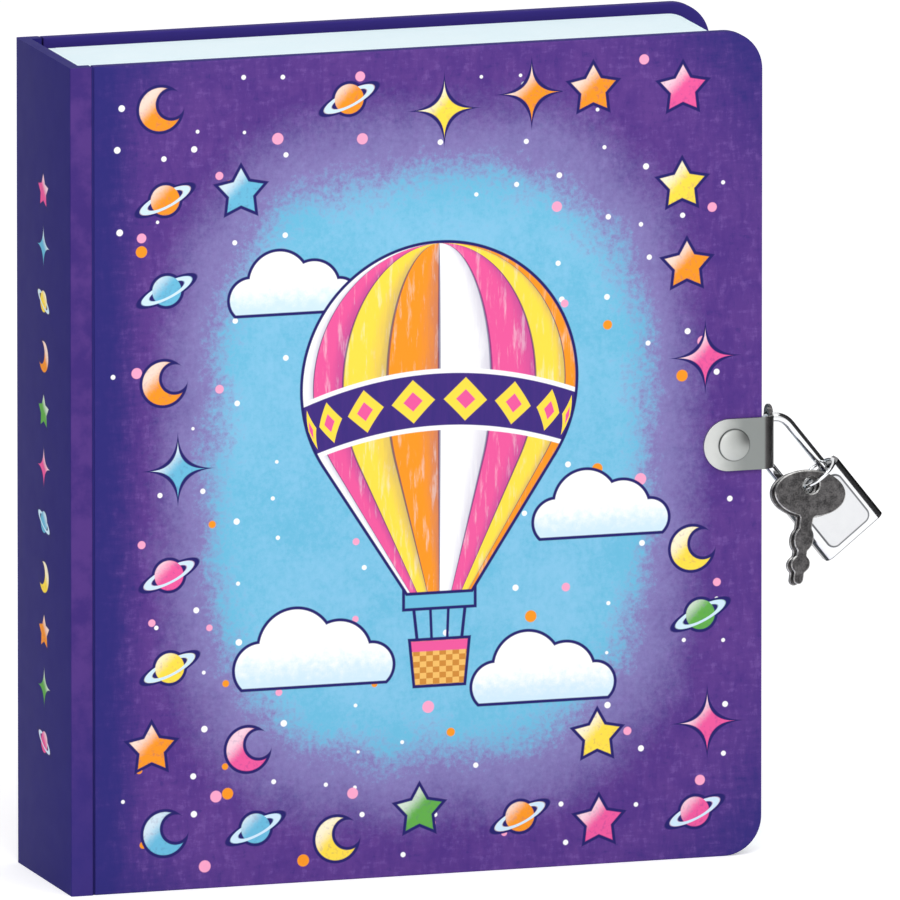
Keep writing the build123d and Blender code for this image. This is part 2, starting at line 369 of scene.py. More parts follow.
def strewn_motifs(paint, base, across, up, spacing, size, room):
    """Motifs strewn over the cover. Room tells from a cell's middle whether its motif is printed."""
    chance, centre_x, centre_z = strewn_cells(paint, across, up, spacing, 0.32, 300.0)
    kind = (chance.out("Red") * motif_kinds).floor()
    tint = (chance.out("Green") * len(motif_inks)).floor()
    keep = room(centre_x, centre_z)
    return motif(paint, base, across - centre_x, up - centre_z, size, kind, tint, keep)


def sky_rim(across, up):
    """Below 1 inside the patch of sky, above 1 outside: a rounded upright shape."""
    wide = abs(across) / sky_half_width
    high = abs(up) / sky_half_height
    return wide * wide * wide + high * high * high


def sky_patch(paint, base, across, up):
    """A patch of sky, its rim broken by dry brush strokes."""
    haze = paint.noise(0.09, 4.0, 0.6)
    dabs = paint.noise(0.8, 4.0, 0.75)
    rim = sky_rim(across, up) + (haze - 0.5) * 0.7 + (dabs - 0.5) * 0.9
    base = paint.mix(paint.between(rim, 0.8, 2.1, 0.75, 0.0), base, dusk_ink)
    tone = paint.between(haze * 0.5 + dabs * 0.5, 0.36, 0.64)
    return paint.mix(paint.between(rim, 0.6, 1.1, 1.0, 0.0), base, paint.mix(tone, sky_ink, pale_sky_ink))


def cloud(paint, base, across, up, size):
    """A cloud of four puffs on a flat foot."""
    foot = (0.0 - up) - 0.45 * size
    puffs = (abs(across) - 1.1 * size).most(abs(up + 0.25 * size) - 0.3 * size)
    for aside, above, radius in ((-1.05, -0.1, 0.5), (-0.35, 0.3, 0.72),
                                 (0.5, 0.12, 0.62), (1.15, -0.14, 0.42)):
        puffs = puffs.least(reach(across - aside * size, up - above * size) - radius * size)
    distance = puffs.most(foot)
    strokes = paint.noise(0.7, 4.0, 0.65)
    shade = paint.between(up + strokes * size * 0.8, 0.0, 0.75 * size)
    return outlined(paint, base, distance, paint.mix(shade, mist_ink, white_ink))


def basket(paint, base, across, up, throat):
    """A woven basket on ropes, hung below the balloon's throat."""
    drop = 9.5
    half_width = 5.2
    half_height = 4.2
    top = throat - drop
    rope = (half_width - 0.8) + (up - top) * 0.11
    ropes = (abs(abs(across) - rope) - 0.32).least(abs(abs(across) - rope * 0.35) - 0.28)
    ropes = ropes.most(abs(up - (throat + top) / 2) - drop / 2)
    base = paint.mix(inside(paint, ropes), base, midnight_ink)
    height = up - top + half_height
    distance = (abs(across) - half_width - height * 0.1).most(abs(height) - half_height)
    weave = ((across / 1.3).floor() + (up / 1.1).floor()) % 2.0
    wicker = paint.mix(weave, ink(205, 138, 62), ink(240, 188, 104))
    wicker = paint.mix(inside(paint, abs(height - 3.2) - 1.0), wicker, pink_ink)
    return outlined(paint, base, distance, wicker)


def balloon(paint, base, across, up):
    """A hot-air balloon of striped gores with a patterned belt, and its basket."""
    radius = 27.0
    middle = 17.0
    lean = math.radians(33)
    taper = 30.0
    gores = 8
    belt_drop = 3.0
    belt_half = 5.0
    belt_rim = 0.9
    join = middle - radius * math.sin(lean)
    throat = join - taper * math.cos(lean)
    throat_half = radius * math.cos(lean) - taper * math.sin(lean)
    height = up - middle
    upper = up > join
    tapered = (up - join) * math.tan(lean) + radius * math.cos(lean)
    dome = (radius * radius - height * height).most(0.01).root()
    half = pick(upper, tapered, dome).most(0.5)
    distance = pick(upper, (abs(across) - tapered) * math.cos(lean), reach(across, height) - radius)
    distance = distance.most(throat - up)
    turn = (across / half).most(-0.999).least(0.999).arcsine() * (gores / math.pi) + gores
    number = turn.floor()
    local = turn - number
    colour = palette(paint, number % 4.0, (white_ink, pink_ink, yellow_ink, orange_ink))
    strokes = paint.noise(0.8, 4.0, 0.65, paint.stretched(1.0, 1.0, 0.14))
    colour = paint.mix(paint.between(local + strokes * 0.5, 0.75, 1.4, 0.0, 0.45), colour, plum_ink)
    colour = paint.mix(paint.between(strokes, 0.52, 0.68, 0.0, 0.3), colour, white_ink)
    colour = paint.mix(paint.between(local.least(1.0 - local), 0.015, 0.04, 0.7, 0.0), colour, midnight_ink)
    belt = height + belt_drop + across * across * 0.007
    colour = paint.mix(inside(paint, abs(belt) - belt_half - belt_rim), colour, white_ink)
    colour = paint.mix(inside(paint, abs(belt) - belt_half), colour, paint.mix(strokes, navy_ink, violet_ink))
    lozenge = abs(local - 0.5) * 2.4 + abs(belt) * 0.24 - 1.0
    colour = paint.mix(inside(paint, lozenge * 3.0), colour, yellow_ink)
    colour = paint.mix(inside(paint, (lozenge + 0.55) * 3.0), colour, pink_ink)
    collar = (abs(across) - throat_half - 0.5).most(abs(up - throat + 1.4) - 1.6)
    base = basket(paint, base, across, up, throat)
    base = outlined(paint, base, collar, sky_ink)
    return outlined(paint, base, distance, colour)


def wrap_finish(paint, colour):
    """Satin film over print, with the faint tooth of the paper below."""
    paint.shader.inputs["Specular IOR Level"].default_value = 0.03
    tooth = paint.noise(2.2, 2.0)
    roughness = 0.5 + 0.12 * paint.noise(0.25, 3.0)
    return paint.finish(colour, roughness, height=tooth, bump=0.08, bump_depth=0.05)


def worn(paint, colour, edge):
    """Paper showing faintly where the film is rubbed along the edges."""
    rub = paint.noise(0.9, 4.0, 0.65)
    return paint.mix(edge * paint.between(rub, 0.5, 0.72, 0.0, 0.2), colour, lilac_ink)


def cover_print(name, with_scene):
    """The print of one cover: a strewn ground, and on the front a balloon among clouds."""
    paint = Paint(name)
    middle_x = (cover_low[0] + cover_high[0]) / 2 / mm
    middle_z = cover_high[2] / 2 / mm
    half_width = (cover_high[0] - cover_low[0]) / 2 / mm
    motif_size = 4.6
    motif_spacing = 17.5
    sky_margin = 1.2
    strap_length = 18.0
    worn_width = 0.8
    across = paint.x - middle_x
    up = paint.z - middle_z
    hinge_shade = paint.between(across + half_width, 1.0, 14.0, 0.9, 0.0)
    corner_shade = paint.between(reach(across / half_width, up / middle_z), 1.0, 1.5, 0.0, 0.9)
    colour = brushed_ground(paint, corner_shade.most(hinge_shade))
    if with_scene:
        colour = sky_patch(paint, colour, across, up)

    def clear_of(x, z, edge, strap):
        """1 where a point lies further than these from the cover's edges and from the strap's middle line."""
        under_strap = (x > half_width - strap_length) * (abs(z) < strap)
        return (abs(x) < half_width - edge) * (abs(z) < middle_z - edge) * (1.0 - under_strap)

    def spot_room(x, z):
        return clear_of(x, z, edge=3.5, strap=7.5)

    def motif_room(x, z):
        free = clear_of(x, z, edge=motif_size + 2.0, strap=12.0)
        return free * (sky_rim(x, z) > sky_margin) if with_scene else free

    for spacing, radius, spot_ink, share, shift in ((8.0, 0.5, white_ink, 0.4, 431.0),
                                                    (14.0, 0.9, rose_ink, 0.35, 577.0),
                                                    (15.0, 0.9, orange_ink, 0.3, 643.0)):
        colour = scattered_spots(paint, colour, across, up, spacing, radius, spot_ink, share, shift,
                                 spot_room)
    colour = strewn_motifs(paint, colour, across, up, motif_spacing, motif_size, motif_room)
    if with_scene:
        colour = cloud(paint, colour, across + 27.0, up - 34.0, 8.0)
        colour = balloon(paint, colour, across - 2.0, up + 2.0)
        for x, z, size in ((34.0, -12.0, 8.5), (-23.0, -37.0, 10.0), (22.5, -43.0, 9.0)):
            colour = cloud(paint, colour, across - x, up - z, size)
    fore_edge = paint.between(across, half_width - worn_width, half_width)
    rim = fore_edge + paint.between(abs(up), middle_z - worn_width, middle_z)
    folded = paint.between(-cover_low[1] / mm - abs(paint.y), 0.1, 0.3)
    colour = paint.mix(folded, worn(paint, colour, rim), fold_ink)
    return wrap_finish(paint, colour)


def spine_print():
    """Navy spine with a row of motifs, and the violet joint strips at its sides."""
    paint = Paint("spine_print")
    half_width = spine_high[1] / mm
    height = spine_high[2] / mm
    motif_size = 3.3
    period = height / 15
    row_half = 5.5 * period
    tone = paint.noise(0.2, 4.0, 0.6)
    colour = paint.mix(tone, ink(38, 33, 106), ink(46, 41, 116))
    joint_strip = paint.mix(paint.between(tone, 0.35, 0.65), ink(66, 47, 119), ink(84, 57, 129))
    joint_strip = paint.mix(paint.between(paint.z, 4.0, 50.0, 0.75, 0.0), joint_strip, navy_ink)
    step = paint.z / period
    number = step.floor()
    local = (step - number - 0.5) * period
    kind = number % motif_kinds
    tint = (number * 3.0) % len(motif_inks)
    in_row = inside(paint, abs(paint.z - height / 2) - row_half)
    colour = motif(paint, colour, paint.y, local, motif_size, kind, tint, in_row)
    on_strip = inside(paint, half_width - 0.16 - abs(paint.y))
    return wrap_finish(paint, paint.mix(on_strip, colour, joint_strip))


def crease_shade():
    """Navy in the creases: painted shade where the wrap dips into the groove."""
    paint = Paint("crease_shade")
    return wrap_finish(paint, paint.mix(paint.noise(0.3, 3.0), midnight_ink, navy_ink))


# Paper

def page_paper():
    """Uncoated paper, faintly blue, with its fibres."""
    paint = Paint("page_paper")
    fibre = paint.noise(1.1, 4.0, 0.6, paint.stretched(1.0, 6.0, 1.0))
    mottle = paint.noise(0.05, 3.0)
    tone = paint.between(fibre * 0.6 + mottle * 0.4, 0.3, 0.7)
    colour = paint.mix(tone, ink(226, 245, 252), ink(235, 249, 254))
    return paint.finish(colour, 0.75 + 0.1 * fibre, height=fibre, bump=0.15, bump_depth=0.05)


def ruled_paper():
    """The same paper, ruled in pale violet on both faces."""
    paint = Paint("ruled_paper")
    line_step = 7.0
    line_half = 0.14
    fibre = paint.noise(1.1, 4.0, 0.6)
    tone = paint.between(fibre, 0.3, 0.7)
    colour = paint.mix(tone, ink(232, 238, 242), ink(246, 249, 251))

    def within(value, low, high, soft):
        """1 from low to high, with soft ends."""
        return paint.between(value, low, low + soft) * paint.between(value, high, high + soft, 1.0, 0.0)

    line = inside(paint, abs(paint.z % line_step - line_step / 2) - line_half)
    ruled = line * within(paint.z, 14.0, 138.0, 0.2) * within(paint.x, 15.0, 125.0, 0.3)
    colour = paint.mix(ruled, colour, ink(178, 158, 214))
    return paint.finish(colour, 0.75 + 0.1 * fibre, height=fibre, bump=0.15, bump_depth=0.05)


def end_paper():
    """Tinted paper with small spots, on the insides of the covers."""
    paint = Paint("end_paper")
    fibre = paint.noise(1.3, 4.0, 0.6)
    colour = paint.mix(paint.between(fibre, 0.3, 0.7), ink(186, 166, 216), ink(200, 182, 226))
    colour = scattered_spots(paint, colour, paint.x, paint.z, 6.0, 0.8, ink(226, 214, 242), 0.8, 19.0)
    return paint.finish(colour, 0.7 + 0.12 * fibre, height=fibre, bump=0.15, bump_depth=0.05)


def grey_board():
    """Raw board, seen only at its edges."""
    paint = Paint("grey_board")
    fibre = paint.noise(0.9, 5.0, 0.7)
    colour = paint.mix(fibre, ink(150, 142, 130), ink(188, 180, 168))
    return paint.finish(colour, 0.8 + 0.1 * fibre, height=fibre, bump=0.3, bump_depth=0.1)


def mull_gauze():
    """Open cotton gauze along the pages' back."""
    paint = Paint("mull_gauze")
    thread_step = 0.9
    half_step = thread_step / 2
    threads = abs(paint.y % thread_step - half_step) * 2.0 + abs(paint.z % thread_step - half_step) * 2.0
    colour = paint.mix(paint.between(threads, 0.5, 1.4), ink(196, 188, 168), ink(232, 226, 210))
    roughness = 0.8 + 0.1 * paint.noise(1.0)
    return paint.finish(colour, roughness, height=threads, bump=0.4, bump_depth=0.2)


# Metal

def plated_steel():
    """Satin nickel, with painted sheen paler toward the strap's rounded end and painted dark reflection on
    its bend past the fore edge.
    """
    paint = Paint("plated_steel")
    rivet_low, rivet_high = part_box("front_rivet")
    rivet_x = (rivet_low[0] + rivet_high[0]) / 2 / mm
    rivet_z = (rivet_low[2] + rivet_high[2]) / 2 / mm
    rivet_radius = (rivet_high[0] - rivet_low[0]) / 2 / mm
    fore_x = cover_high[0] / mm
    line_half = 0.12
    pale_ink = ink(204, 206, 203)
    haze = paint.noise(0.35, 4.0, 0.6)
    # Painted sheen: the plate paler toward its rounded end and darker toward the fore edge.
    painted_sheen = paint.between(paint.x + haze * 2.0, fore_x - 9.7, fore_x - 2.5, 1.0, 0.0)
    # Painted dark reflection: mask of the bend past the fore edge.
    bent = paint.between(paint.x, fore_x + 0.1, fore_x + 0.7)
    colour = paint.mix(painted_sheen, ink(137, 141, 139), pale_ink)
    from_rim = reach(paint.x - rivet_x, paint.z - rivet_z) - rivet_radius
    colour = paint.mix(inside(paint, from_rim) * 0.35, colour, pale_ink)
    # Painted shade: a darker line round the rivet's rim.
    colour = paint.mix(inside(paint, abs(from_rim) - line_half), colour, ink(116, 119, 118))
    # Painted dark reflection on the bend.
    colour = paint.mix(bent, colour, paint.mix(haze, ink(66, 64, 65), ink(104, 102, 102)))
    roughness = 0.34 - 0.14 * bent + 0.05 * haze
    return paint.finish(colour, roughness, 0.95, height=haze, bump=0.02, bump_depth=0.03)


def bright_chrome():
    """Bright chrome with a faint haze."""
    paint = Paint("bright_chrome")
    haze = paint.noise(0.5, 4.0, 0.6)
    colour = paint.mix(haze, ink(222, 223, 225), ink(240, 241, 242))
    roughness = 0.07 + 0.08 * paint.noise(0.9, 3.0)
    return paint.finish(colour, roughness, 1.0, height=haze, bump=0.02, bump_depth=0.03)


def case_chrome():
    """Chrome on the lock's case, with a dull line of painted shade round the raised panel, and painted dark
    reflection on its sides and ends.
    """
    paint = Paint("case_chrome")
    pivot = joints["lock_swing"]["pos_m"]
    tilt = math.radians(38.5)
    panel_half_width = 4.95
    panel_half_height = 5.75
    panel_middle = -18.35
    corner = 1.6
    line_half = 0.18
    side_start = 6.4
    end_start = 6.8
    aside = paint.x - pivot[0] / mm
    above = paint.z - pivot[2] / mm
    across = abs(aside * math.cos(tilt) + above * math.sin(tilt))
    along = abs(above * math.cos(tilt) - aside * math.sin(tilt) - panel_middle)
    past_side = (across - panel_half_width + corner).most(0.0)
    past_end = (along - panel_half_height + corner).most(0.0)
    rim = reach(past_side, past_end) - corner
    haze = paint.noise(0.5, 4.0, 0.6)
    colour = paint.mix(haze, ink(222, 223, 225), ink(240, 241, 242))
    colour = paint.mix(inside(paint, rim), colour, paint.mix(haze, ink(205, 206, 208), ink(217, 218, 219)))
    # Painted shade: a darker, rougher line round the raised panel's edge.
    line = inside(paint, abs(rim) - line_half)
    colour = paint.mix(line, colour, ink(112, 113, 116))
    # Painted dark reflection on the case's sides and ends.
    colour = paint.mix(paint.between(along, end_start, end_start + 0.2), colour, ink(130, 131, 133))
    colour = paint.mix(paint.between(across, side_start, side_start + 0.3), colour, ink(92, 91, 93))
    roughness = 0.08 + 0.08 * haze + 0.3 * line
    return paint.finish(colour, roughness, 1.0, height=haze, bump=0.02, bump_depth=0.03)


def dark_nickel(name, dark, light):
    """Dark plate on the stamped keys, cloudy from handling, or a painted highlight of brighter metal along
    their chamfered edges.
    """
    paint = Paint(name)
    mottle = paint.noise(0.7, 5.0, 0.7)
    speck = paint.noise(3.2, 3.0, 0.6)
    tone = paint.between(mottle * 0.65 + speck * 0.35, 0.34, 0.66)
    colour = paint.mix(tone, dark, light)
    return paint.finish(colour, 0.3 + 0.14 * speck, 0.9, height=mottle, bump=0.08, bump_depth=0.05)


def spring_steel():
    """Blue-grey spring with a drawn grain."""
    paint = Paint("spring_steel")
    grain = paint.noise(1.2, 3.0, 0.6, paint.stretched(1.0, 4.0, 0.4))
    colour = paint.mix(grain, ink(96, 100, 108), ink(138, 142, 148))
    return paint.finish(colour, 0.3 + 0.15 * grain, 1.0, height=grain, bump=0.05, bump_depth=0.04)


materials = {
    "front_print": cover_print("front_print", True),
    "back_print": cover_print("back_print", False),
    "spine_print": spine_print(),
    "crease_shade": crease_shade(),
    "page_paper": page_paper(),
    "ruled_paper": ruled_paper(),
    "end_paper": end_paper(),
    "grey_board": grey_board(),
    "mull_gauze": mull_gauze(),
    "plated_steel": plated_steel(),
    "bright_chrome": bright_chrome(),
    "case_chrome": case_chrome(),
    "dark_nickel": dark_nickel("dark_nickel", ink(46, 45, 46), ink(104, 102, 102)),
    # Painted highlight on the keys' chamfered edges.
    "edge_highlight_nickel": dark_nickel("edge_highlight_nickel", ink(120, 119, 118), ink(214, 213, 211)),
    "spring_steel": spring_steel(),
}
leaves = ("front_flyleaf", "first_leaf", "second_leaf", "third_leaf")
finished_nodes = {
    "front_print": ("front_wrap",),
    "back_print": ("back_wrap",),
    "spine_print": ("spine_wrap",),
    "grey_board": ("spine_board", "front_joint_board", "back_joint_board", "front_board", "back_board"),
    "mull_gauze": ("spine_lining",),
    "page_paper": ("page_block", "back_flyleaf"),
    "ruled_paper": leaves,
    "end_paper": ("front_pastedown", "back_pastedown"),
    "plated_steel": ("front_strap", "back_strap", "front_rivet", "back_rivet", "front_rivet_washer",
                     "back_rivet_washer"),
    "bright_chrome": ("shackle", "case_back", "key_ring"),
    "case_chrome": ("case_shell",),
    "dark_nickel": ("front_key", "rear_key"),
    "spring_steel": ("latch_spring",),
}
for finish, nodes in finished_nodes.items():
    for node in nodes:
        slots = frame["nodes"][node].data.materials
        slots.clear()
        slots.append(materials[finish])


# Shapes

def add_piece(name, vertices, faces, finish, slot):
    """A smooth mesh piece with outward faces."""
    mesh = bpy.data.meshes.new(name)
    mesh.from_pydata(vertices, [], faces)
    shell = bmesh.new()
    shell.from_mesh(mesh)
    bmesh.ops.recalc_face_normals(shell, faces=shell.faces)
    shell.to_mesh(mesh)
    shell.free()
    mesh.shade_smooth()
    mesh.materials.append(materials[finish])
    piece = bpy.data.objects.new(name, mesh)
    bpy.context.collection.objects.link(piece)
    return piece


def baked(piece):
    """Turn the piece's modifiers into plain mesh."""
    bpy.context.view_layer.update()
    evaluated = piece.evaluated_get(bpy.context.evaluated_depsgraph_get())
    mesh = bpy.data.meshes.new_from_object(evaluated)
    piece.modifiers.clear()
    piece.data = mesh
    return piece


def plate_outline(low, high, fore_radius, spine_radius, inset):
    """Points across X and Z round an upright plate drawn in by the inset, its four corners rounded."""
    points = []
    least_radius = 0.03 * mm
    for x_side, z_side, corner, start in ((0, 0, spine_radius, 180), (1, 0, fore_radius, 270),
                                          (1, 1, fore_radius, 0), (0, 1, spine_radius, 90)):
        radius = max(corner - inset, least_radius)
        back = radius + inset
        middle_x = low[0] + back if x_side == 0 else high[0] - back
        middle_z = low[2] + back if z_side == 0 else high[2] - back
        for step in range(arc_steps + 1):
            angle = math.radians(start + 90 * step / arc_steps)
            points.append((middle_x + radius * math.cos(angle), middle_z + radius * math.sin(angle)))
    return points


def loft(rings):
    """Vertices and faces of a closed shell through rings of points."""
    count = len(rings[0])
    vertices = [point for ring in rings for point in ring]
    faces = [tuple(range(count)), tuple(range(len(vertices) - count, len(vertices)))]
    for level in range(len(rings) - 1):
        for i in range(count):
            j = (i + 1) % count
            near = level * count
            far = near + count
            faces.append((near + i, near + j, far + j, far + i))
    return vertices, faces


def cover_skin(cover):
    """The printed wrap over a cover board, its edges rounded where the paper folds over."""
    node = cover + "_wrap"
    body = cover + "_cover"
    low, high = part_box(node)
    flat_rim = 0.1 * mm
    levels = [(edge_round + flat_rim, low[1])]
    for step in range(round_steps + 1):
        angle = math.pi / 2 * step / round_steps
        levels.append((edge_round * (1 - math.sin(angle)), low[1] + edge_round * (1 - math.cos(angle))))
    for inset, y in list(reversed(levels)):
        levels.append((inset, low[1] + high[1] - y))
    rings = []
    for inset, y in levels:
        outline = plate_outline(low, high, cover_corner, joint_corner, inset)
        rings.append([(x, y, z) for x, z in outline])
    piece = add_piece(cover + "_skin", *loft(rings), cover + "_print", "printed_wrap")
    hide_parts(node)
    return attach(piece, body)


def arc(middle_x, middle_y, radius, start, end):
    """Points round part of a small circle across X and Y."""
    points = []
    for step in range(round_steps + 1):
        angle = math.radians(start + (end - start) * step / round_steps)
        points.append((middle_x + radius * math.cos(angle), middle_y + radius * math.sin(angle)))
    return points


def spine_skin():
    """The wrap over the spine and its two joint strips."""
    low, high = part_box("spine_wrap")
    inner_x = -low[0] - wrap_sheet
    inner_y = cover_high[1]
    spine_round = 0.35 * mm
    outer = arc(high[0] - edge_round, low[1] + edge_round, edge_round, 0, -90)
    outer += arc(low[0] + spine_round, low[1] + spine_round, spine_round, -90, -180)
    outer += [(x, -y) for x, y in reversed(outer)]
    inner = [(high[0], -inner_y), (inner_x, -inner_y), (inner_x, inner_y), (high[0], inner_y)]
    profile = outer + inner
    rings = [[(x, y, z) for x, y in profile] for z in (low[2], high[2])]
    piece = add_piece("spine_skin", *loft(rings), "spine_print", "printed_wrap")
    piece.data.set_sharp_from_angle(angle=sharp_angle)
    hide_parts("spine_wrap")
    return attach(piece, "book")


def strip(name, path, low_z, high_z, thickness, finish, slot):
    """A sheet that stands on a path across X and Y. Each point also gives how much its ends are trimmed."""
    vertices = []
    for x, y, trim in path:
        for depth in (0, thickness):
            vertices.append((x, y + depth, low_z + trim))
            vertices.append((x, y + depth, high_z - trim))
    faces = [(0, 1, 3, 2)]
    for column in range(len(path) - 1):
        near = 4 * column
        far = near + 4
        for first, second in ((0, 1), (1, 3), (3, 2), (2, 0)):
            faces.append((near + first, near + second, far + second, far + first))
    last = 4 * (len(path) - 1)
    faces.append((last, last + 2, last + 3, last + 1))
    return add_piece(name, vertices, faces, finish, slot)


def straight_path(start_x, end_x, y, steps):
    """Points evenly spaced along X, none of them trimmed."""
    return [(start_x + (end_x - start_x) * step / steps, y, 0) for step in range(steps + 1)]


def leaf_path(low, high, root_x):
    """Places along a leaf: close together at its root, and round its fore corners."""
    bend_reach = 16 * mm
    bend_steps = 24
    path = straight_path(root_x, root_x + bend_reach, low[1], bend_steps)
    for step in range(arc_steps + 1):
        angle = math.pi / 2 * step / arc_steps
        x = high[0] - page_corner + page_corner * math.sin(angle)
        path.append((x, low[1], page_corner * (1 - math.cos(angle))))
    return path


def leaf_skin(node):
    """A paper leaf, its places close together at the gutter."""
    root_gap = 0.4 * mm
    low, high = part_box(node)
    path = leaf_path(low, high, page_low[0] + root_gap)
    piece = strip(node + "_sheet", path, low[2], high[2], high[1] - low[1], "ruled_paper", "page_paper")
    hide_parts(node)
    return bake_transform(piece)


def across_joint(piece, body):
    """Mirror the piece to the back where it is for the back cover."""
    if body == "back_cover":
        for vertex in piece.data.vertices:
            vertex.co.y = -vertex.co.y
        piece.data.flip_normals()
    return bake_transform(piece)


def crease_strip(body):
    """The wrap where it dips into the groove between joint strip and cover, on which the cover turns."""
    overlap = 0.35 * mm
    end_gap = 0.05 * mm
    steps = 16
    path = straight_path(spine_high[0] - overlap, cover_low[0] + overlap, cover_low[1] + crease_depth, steps)
    piece = strip(body + "_crease", path, spine_low[2] + end_gap, spine_high[2] - end_gap, wrap_sheet,
                  "crease_shade", "printed_wrap")
    return across_joint(piece, body)


def end_paper_hinge(body):
    """The endpaper's fold inside the joint."""
    spine_gap = 0.1 * mm
    overlap = 1 * mm
    board_gap = 0.02 * mm
    thickness = 0.12 * mm
    steps = 40
    start_x = -spine_low[0] - wrap_sheet + spine_gap
    path = straight_path(start_x, paste_low[0] + overlap, cover_high[1] + board_gap, steps)
    piece = strip(body + "_endpaper_fold", path, paste_low[2], paste_high[2], thickness,
                  "end_paper", "end_paper")
    return across_joint(piece, body)


# Page block: one sheet, repeated through the block with small shifts

def sheet_stack_tree():
    """Geometry nodes that repeat the incoming sheet along Y, each copy drawn back a little at random."""
    tree = bpy.data.node_groups.new("sheet_stack", "GeometryNodeTree")
    face = tree.interface
    face.new_socket("Geometry", in_out="INPUT", socket_type="NodeSocketGeometry")
    for label, kind in (("Sheet Count", "NodeSocketInt"), ("Spacing", "NodeSocketFloat"),
                        ("Shift", "NodeSocketFloat"), ("Paper", "NodeSocketMaterial")):
        face.new_socket(label, in_out="INPUT", socket_type=kind)
    face.new_socket("Geometry", in_out="OUTPUT", socket_type="NodeSocketGeometry")
    nodes = Nodes(tree)
    given = nodes.node("NodeGroupInput")
    step = nodes.node("ShaderNodeCombineXYZ", {}, {"Y": given.out("Spacing")})
    line = nodes.node("GeometryNodeMeshLine", {}, {"Count": given.out("Sheet Count"), "Offset": step})
    shift = nodes.node("FunctionNodeRandomValue", {"data_type": "FLOAT"},
                       {3: given.out("Shift"), "Seed": 7}, output=1)
    back = nodes.node("ShaderNodeCombineXYZ", {}, {"X": shift * -1.0})
    sheets = nodes.node("GeometryNodeInstanceOnPoints", {},
                        {"Points": line, "Instance": given.out("Geometry")})
    moved = nodes.node("GeometryNodeTranslateInstances", {}, {"Instances": sheets, "Translation": back})
    real = nodes.node("GeometryNodeRealizeInstances", {}, {"Geometry": moved})
    painted = nodes.node("GeometryNodeSetMaterial", {}, {"Geometry": real, "Material": given.out("Paper")})
    result = tree.nodes.new("NodeGroupOutput")
    nodes.feed(result.inputs[0], painted)
    return tree


def page_stack():
    """The pages as a stack of thin sections, so that their edges show."""
    sheet_count = 60
    paper_share = 0.985
    spine_corner = 0.2 * mm
    spacing = (page_high[1] - page_low[1]) / sheet_count
    outline = plate_outline(page_low, page_high, page_corner, spine_corner, 0)
    rings = [[(x, y, z) for x, z in outline] for y in (page_low[1], page_low[1] + spacing * paper_share)]
    piece = add_piece("page_stack", *loft(rings), "page_paper", "page_paper")
    piece.data.shade_flat()
    tree = sheet_stack_tree()
    modifier = piece.modifiers.new("stack", "NODES")
    modifier.node_group = tree
    values = {"Sheet Count": sheet_count, "Spacing": spacing, "Shift": 0.18 * mm,
              "Paper": materials["page_paper"]}
    for item in tree.interface.items_tree:
        if item.name in values:
            modifier[item.identifier] = values[item.name]
    baked(piece)
    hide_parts("page_block")
    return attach(piece, "book")


# Metal pieces with their edges broken

def own_mesh(node):
    """A merged copy of a node's mesh, which works out its own normals once its edges are broken."""
    merge_distance = 0.002 * mm
    flat_angle = math.radians(0.1)
    mesh = frame["nodes"][node].data.copy()
    stored_normals = mesh.attributes.get("custom_normal")
    if stored_normals:
        mesh.attributes.remove(stored_normals)
    shell = bmesh.new()
    shell.from_mesh(mesh)
    bmesh.ops.remove_doubles(shell, verts=shell.verts, dist=merge_distance)
    bmesh.ops.dissolve_limit(shell, angle_limit=flat_angle, verts=shell.verts, edges=shell.edges)
    shell.to_mesh(mesh)
    shell.free()
    return mesh


def broken_edges(node, body, width, edge_finish=None):
    """A metal piece with its sharp edges chamfered, in the edge finish if one is given."""
    piece = bpy.data.objects.new(node + "_plated", own_mesh(node))
    bpy.context.collection.objects.link(piece)
    chamfer = piece.modifiers.new("chamfer", "BEVEL")
    chamfer.width = width
    chamfer.segments = 1
    chamfer.limit_method = "ANGLE"
    chamfer.angle_limit = math.radians(40.0)
    if edge_finish:
        piece.data.materials.append(materials[edge_finish])
        chamfer.material = 1
    baked(piece)
    piece.data.shade_smooth()
    piece.data.set_sharp_from_angle(angle=sharp_angle)
    even = piece.modifiers.new("even", "WEIGHTED_NORMAL")
    even.keep_sharp = True
    baked(piece)
    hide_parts(node)
    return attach(piece, body)


for cover in ("front", "back"):
    cover_skin(cover)
spine_skin()
page_stack()
for leaf in leaves:
    leaf_skin(leaf)
for cover in ("front", "back"):
    body = cover + "_cover"
    crease_strip(body)
    end_paper_hinge(body)
    broken_edges(cover + "_strap", body, 0.12 * mm)
    broken_edges(cover + "_rivet", body, 0.08 * mm)
broken_edges("shackle", "shackle", 0.1 * mm)
broken_edges("case_shell", "lock_case", 0.15 * mm)
broken_edges("key_ring", "key_ring", 0.12 * mm)
for key in ("front_key", "rear_key"):
    # The keys' chamfers take the painted edge highlight.
    broken_edges(key, key, 0.22 * mm, "edge_highlight_nickel")


# Camera, light and floor

